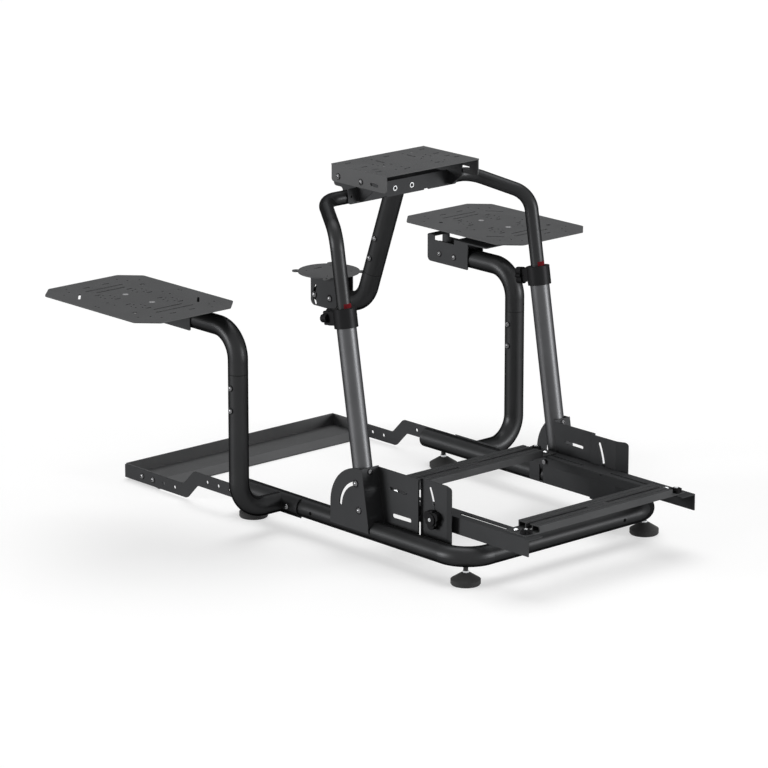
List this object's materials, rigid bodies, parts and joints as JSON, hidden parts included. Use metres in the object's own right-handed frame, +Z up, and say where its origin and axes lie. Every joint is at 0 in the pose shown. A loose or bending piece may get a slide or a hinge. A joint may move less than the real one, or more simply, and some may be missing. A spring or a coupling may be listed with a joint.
{
  "type": "flight simulator cockpit",
  "caption": "Open tubular rig on levelling feet with a tilting height-adjustable hoop, yoke plate, centre stick mount, side plates, seat rails and pedal tray.",
  "frame": {"origin": "on the floor under the middle of the rig's bounding box", "axes": "+X towards the sitter's right hand, +Y forward from seat to pedals, +Z up"},
  "size_m": [1.5132, 1.424, 0.9],
  "materials": {
    "frame_black": "fine-textured matte powder coat",
    "bracket_black": "matte powder coat on folded sheet",
    "plate_grey": "matte powder coat, catching light from above",
    "upright_grey": "satin dark grey",
    "rail_black": "black anodised extrusion",
    "black_plastic": "moulded black plastic",
    "foot_rubber": "black rubber",
    "bolt_steel": "zinc-plated steel"
  },
  "bodies": {
    "base": {"left_base_rail": "frame_black", "right_base_rail": "frame_black", "rear_base_tube": "frame_black", "left_front_foot": "foot_rubber", "right_front_foot": "foot_rubber", "left_rear_foot": "foot_rubber", "right_rear_foot": "foot_rubber", "pedal_tray": "plate_grey", "left_tray_strip": "bracket_black", "right_tray_strip": "bracket_black", "left_lower_arm": "frame_black", "right_lower_arm": "frame_black", "left_upper_arm": "frame_black", "right_upper_arm": "frame_black", "left_plate_bracket": "bracket_black", "right_plate_bracket": "bracket_black", "left_side_plate": "plate_grey", "right_side_plate": "plate_grey", "left_pivot_bracket": "bracket_black", "right_pivot_bracket": "bracket_black", "pivot_bolts": "bolt_steel"},
    "uprights": {"left_upright": "upright_grey", "right_upright": "upright_grey", "left_collar": "black_plastic", "right_collar": "black_plastic", "left_collar_knob": "black_plastic", "right_collar_knob": "black_plastic", "lock_bolts": "bolt_steel"},
    "hoop": {"left_hoop_leg": "frame_black", "right_hoop_leg": "frame_black", "hoop_crossbar": "frame_black", "crossbar_clamp": "bracket_black", "yoke_plate": "plate_grey", "upper_stick_arm": "frame_black", "lower_stick_arm": "frame_black", "stick_bolts": "bolt_steel"},
    "stick_mount": {"stick_bracket": "bracket_black", "stick_plate": "plate_grey"},
    "seat_frame": {"left_seat_rail": "bracket_black", "right_seat_rail": "bracket_black", "seat_knobs": "black_plastic"},
    "front_cross": {"front_cross_rail": "rail_black", "front_cross_knobs": "black_plastic"},
    "rear_cross": {"rear_cross_rail": "rail_black", "rear_cross_knobs": "black_plastic"}
  },
  "joints": [
    {"name": "uprights_tilt", "type": "hinge", "parent": "base", "child": "uprights", "pos_m": [0, -0.192, 0.1185], "axis": [-1, 0, 0], "range_deg": [0, 36]},
    {"name": "hoop_slide", "type": "slide", "parent": "uprights", "child": "hoop", "axis": [0, 0.1685, 0.9857], "range_m": [-0.13, 0]},
    {"name": "stick_plate_tilt", "type": "hinge", "parent": "hoop", "child": "stick_mount", "pos_m": [0, 0.28393, 0.506], "axis": [1, 0, 0], "range_deg": [-15, 20]},
    {"name": "seat_tilt", "type": "hinge", "parent": "base", "child": "seat_frame", "pos_m": [0, -0.192, 0.1185], "axis": [-1, 0, 0], "range_deg": [0, 20]},
    {"name": "front_cross_slide", "type": "slide", "parent": "seat_frame", "child": "front_cross", "axis": [0, -1, 0], "range_m": [0, 0.12]},
    {"name": "rear_cross_slide", "type": "slide", "parent": "seat_frame", "child": "rear_cross", "axis": [0, 1, 0], "range_m": [0, 0.2]}
  ]
}
